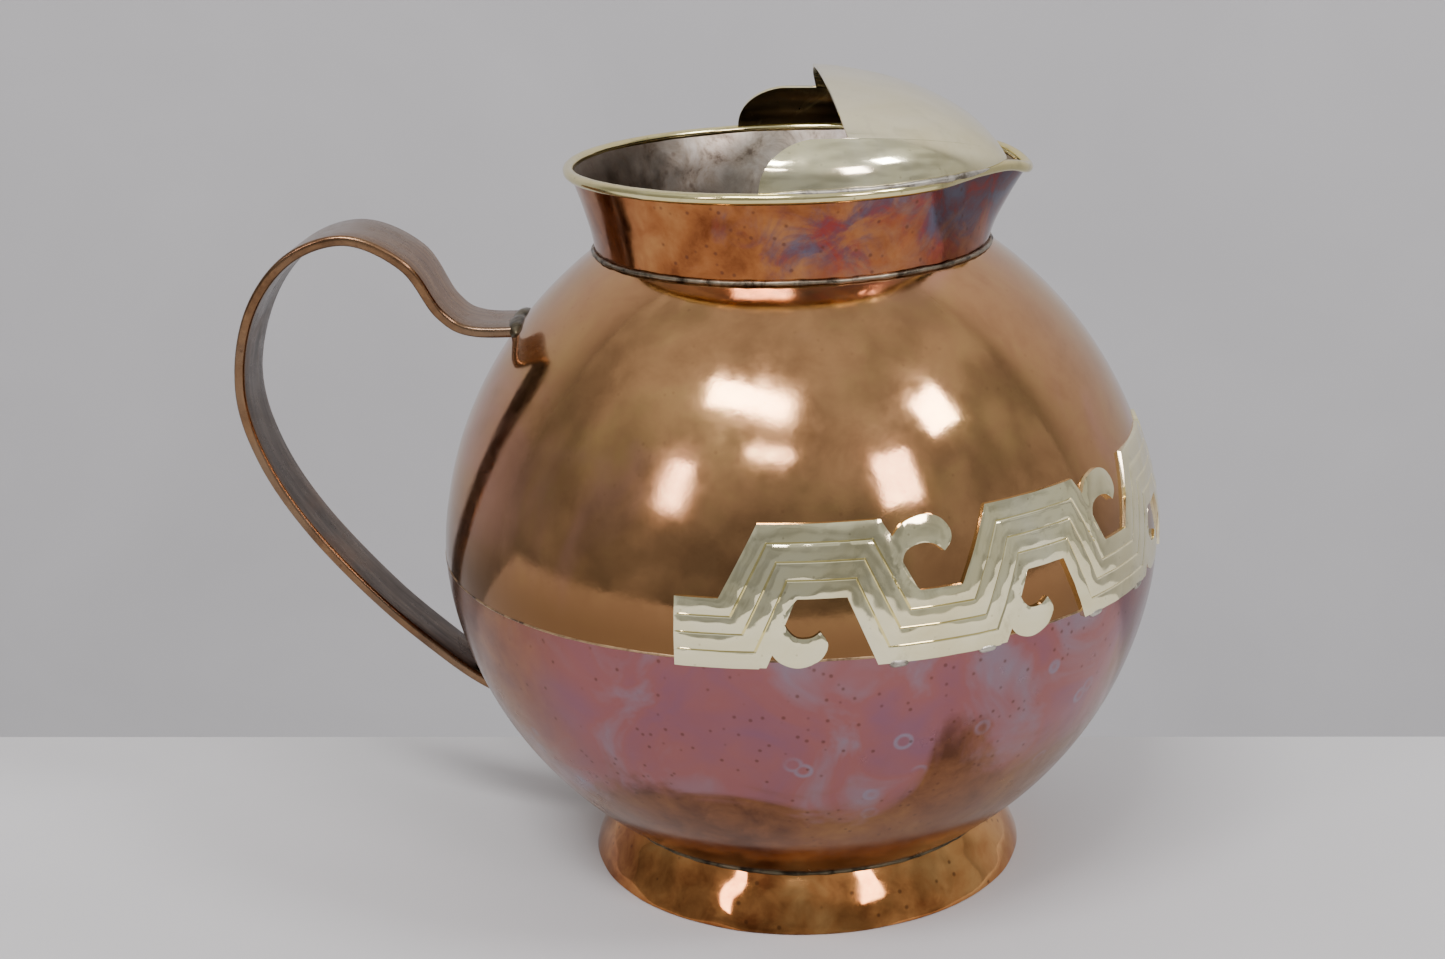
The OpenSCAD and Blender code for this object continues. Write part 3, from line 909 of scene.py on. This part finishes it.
def build_fret():
    flat, faces, depth = fret_mesh()
    beaten = 0.11 * wave(flat[:, 0] * 0.30, flat[:, 1] * 0.34, 0.5) - 0.11
    top = on_body(flat, FRET_T - depth + beaten)
    under = on_body(flat, np.full(len(flat), -0.25))
    n = len(flat)
    seen = dict.fromkeys((a, b) for f in faces for a, b in zip(f, f[1:] + f[:1]))
    border = [(a, b) for a, b in seen if (b, a) not in seen]
    sides = [(b, a, a + n, b + n) for a, b in border]
    back = [tuple(k + n for k in reversed(f)) for f in faces]
    band = make_piece("fret", np.concatenate([top, under]), faces + back + sides,
                      [brass("brass_fret", 0.04, 0.12, 0.3)], None, 32)
    finish_piece(band, "fret_band")


# ---- the solder ----

def ring_bead(name, node, radius, height, size, material, seed):
    """Bead that goes all the way round."""
    finish_piece(bead(name, -180, 180, radius, height, size, material, seed), node)


def build_solder():
    bright = solder("solder_bright", (0.50, 0.47, 0.40), LEAD)
    dull = solder("solder_dull", (0.26, 0.22, 0.16), (0.05, 0.04, 0.03))
    dark = solder("solder_dark", (0.13, 0.11, 0.07), (0.03, 0.025, 0.018))
    tan = solder("solder_seam", (0.42, 0.28, 0.15), (0.10, 0.06, 0.04))
    ring_bead("seam_line", "seam_solder", BODY_R - 0.22, SEAM_Z, 0.36, tan, 0.3)
    ring_bead("collar_bead", "collar_solder", COLLAR_BASE_R + 0.35, COLLAR_Z + 0.18, 0.58, dull, 1.1)
    ring_bead("foot_bead", "foot_solder", FOOT_TOP_R - 0.2, FOOT_H + 0.3, 0.62, dark, 2.3)
    turn = math.degrees(GUARD_TURN)
    sides = []
    for start in (-100, 34):
        first = turn + start
        sides.append(bead("guard_bead", first, first + 66, GUARD_R + 0.3, GUARD_Z - 0.2, 0.72, bright, start))
    finish_piece(join(sides, "guard_bead"), "guard_solder")
    spills = []
    radius = float(bowl_r(FRET_Z)) + 0.1
    for i in range(1, FRET_COUNT):
        for offset in (-5, 8.5):
            start = FRET_START + i * FRET_PITCH + offset
            spills.append(bead("spill", start, start + 3, radius, FRET_Z - 0.2, 0.95, bright, start, 8))
    finish_piece(join(spills, "fret_spills"), "fret_solder")
    radius = float(bowl_r(STRAP_TOP_Z)) - 0.2
    top = bead("strap_top_bead", 169.8, 190.2, radius, STRAP_TOP_Z - 0.3, 2.3, dark, 0.8, 6)
    finish_piece(top, "handle_top_solder")
    build_wedge(dark)


def build_wedge(material):
    """Dark solder in the corner between the strap's lower end and the body; its dark colour is partly painted
    shadow in that corner.
    """
    rings = []
    for k in range(17):
        y = -6.4 + 12.8 * k / 16
        back = math.sqrt(BODY_R ** 2 - y * y) - BODY_R
        lump = float(wave(y * 0.5, 1.0, 0.6))
        grow = 1 - abs(y / 6.5) ** 8
        corner = [(-79.2, 46.6), (-83.6, 48.2), (-85.6, 50.1 + 0.4 * lump), (-83.4, 51.6 + 0.5 * lump),
                  (-83.3, 53.6 + 0.8 * lump), (-81.5, 52.0)]
        middle = np.mean(corner, axis=0)
        ring = [middle + (np.array(c) - middle) * (0.35 + 0.65 * grow) for c in corner]
        smooth = spline([*ring, ring[0]], 4)[:-1]
        rings.append([(x - back, y, z) for x, z in smooth])
    wedge = tube("strap_low_bead", np.array(rings), [material], False, None, 60)
    finish_piece(wedge, "handle_low_solder")


# ---- surroundings ----

def stage_sheet(name, corners, colour, fold):
    """Flat sheet through four corners in millimetres, with soft uneven shading."""
    mesh = bpy.data.meshes.new(name)
    mesh.from_pydata([tuple(c * MM for c in p) for p in corners], [], [(0, 1, 2, 3)])
    material, tree, shader = new_material(name + "_cloth", 0.0)
    vector = place(tree)
    wide = noise(tree, vector, 3.5, 4.0, 0.55, 0.8)
    shade = ramp(tree, wide, [(0.3, tuple(c * 0.93 for c in colour)), (0.7, colour)])
    finish_shader(tree, shader, shade, 0.75)
    bump(tree, shader, noise(tree, vector, 9, 2.0, 0.4, 0.2), fold, 0.02)
    mesh.materials.append(material)
    obj = bpy.data.objects.new(name, mesh)
    bpy.context.scene.collection.objects.link(obj)
    return obj


def upright(half, y, low, high):
    """Corners of a sheet that stands across the view."""
    return [(-half, y, low), (half, y, low), (half, y, high), (-half, y, high)]


def build_stage():
    half = TABLE_HALF
    corners = [(-half, -half, 0), (half, -half, 0), (half, TABLE_EDGE, 0), (-half, TABLE_EDGE, 0)]
    table = stage_sheet("table", corners, (0.62, 0.62, 0.61), 0.12)
    drop = stage_sheet("table_edge", upright(half, TABLE_EDGE, 0, -400), (0.5, 0.5, 0.5), 0.1)
    wall = stage_sheet("wall", upright(WALL_HALF, WALL_Y, -900, 2600), (0.61, 0.61, 0.61), 0.10)


def softbox(name, azimuth, elevation, width, height, power, colour):
    """Rectangular lamp seen from the body in a direction, facing it. Size in metres."""
    a, e = math.radians(azimuth), math.radians(elevation)
    out = Vector((math.cos(a) * math.cos(e), math.sin(a) * math.cos(e), math.sin(e)))
    lamp = bpy.data.lights.new(name, "AREA")
    lamp.shape = "RECTANGLE"
    lamp.size = width
    lamp.size_y = height
    lamp.energy = power
    lamp.color = colour
    obj = bpy.data.objects.new(name, lamp)
    obj.location = Vector((0, 0, 0.1)) + out * LAMP_DISTANCE
    obj.rotation_euler = (-out).to_track_quat("-Z", "Y").to_euler()
    bpy.context.scene.collection.objects.link(obj)


def build_room():
    """World light: a pale room above and to the sides, dark low down towards the viewer and to the left."""
    world = bpy.data.worlds.new("room")
    world.use_nodes = True
    tree = world.node_tree
    background = tree.nodes["Background"]
    coords = node(tree, "ShaderNodeTexCoord")
    split = node(tree, "ShaderNodeSeparateXYZ")
    tree.links.new(coords.outputs["Generated"], split.inputs["Vector"])
    high = fade(tree, split.outputs["Z"], 0.42, 0.80, 0.0, 1.0)
    near = fade(tree, split.outputs["Y"], -0.98, -0.66, 1.0, 0.0)
    left = fade(tree, split.outputs["X"], -0.98, -0.70, 0.8, 0.0)
    shade = calc(tree, "MULTIPLY", calc(tree, "MAXIMUM", near, left), calc(tree, "SUBTRACT", 1.0, high))
    patches = fade(tree, noise(tree, coords.outputs["Generated"], 3.4, 3.0), 0.38, 0.62, 0.72, 1.12)
    walls = fade(tree, shade, 0.0, 1.0, 0.70, 0.50)
    ceiling = calc(tree, "MULTIPLY", high, 0.38)
    level = calc(tree, "MULTIPLY", calc(tree, "ADD", walls, ceiling), patches)
    tree.links.new(mix(tree, 1.0, (0.98, 0.99, 1.0), level, "MULTIPLY"), background.inputs["Color"])
    background.inputs["Strength"].default_value = 0.66
    bpy.context.scene.world = world


def build_lights():
    softbox("ceiling_lamp", -112, 58, 1.30, 0.40, 52, (1.0, 0.97, 1.0))
    softbox("right_window", -24, 44, 0.56, 0.52, 30, (0.96, 0.95, 1.0))
    softbox("front_window", -51, 32.5, 0.58, 0.72, 20, (1.0, 0.88, 0.95))
    softbox("small_lamp", -98, 43, 0.68, 0.10, 6, (1.0, 0.92, 0.98))
    softbox("left_window", -131, 30, 0.34, 0.60, 10, (1.0, 0.86, 0.95))


def build_camera():
    eye = Vector((0.0276, -0.5264, 0.2651))
    aim = Vector((-0.0191, -0.0010, 0.0995))
    roll = -0.037
    forward = (aim - eye).normalized()
    right = forward.cross(Vector((0, 0, 1))).normalized()
    up = right.cross(forward)
    tilted_right = math.cos(roll) * right + math.sin(roll) * up
    tilted_up = -math.sin(roll) * right + math.cos(roll) * up
    lens = bpy.data.cameras.new("camera")
    lens.lens = 54.0
    lens.sensor_width = 36.0
    camera = bpy.data.objects.new("camera", lens)
    turn = Matrix((tilted_right, tilted_up, -forward)).transposed()
    camera.matrix_world = Matrix.Translation(eye) @ turn.to_4x4()
    bpy.context.scene.collection.objects.link(camera)
    bpy.context.scene.camera = camera


TINNED = tinned()
build_upper_bowl()
build_lower_bowl()
build_collar()
build_rim_wire()
build_foot()
build_guard()
build_strap()
build_fret()
build_solder()
build_stage()
build_room()
build_lights()
build_camera()
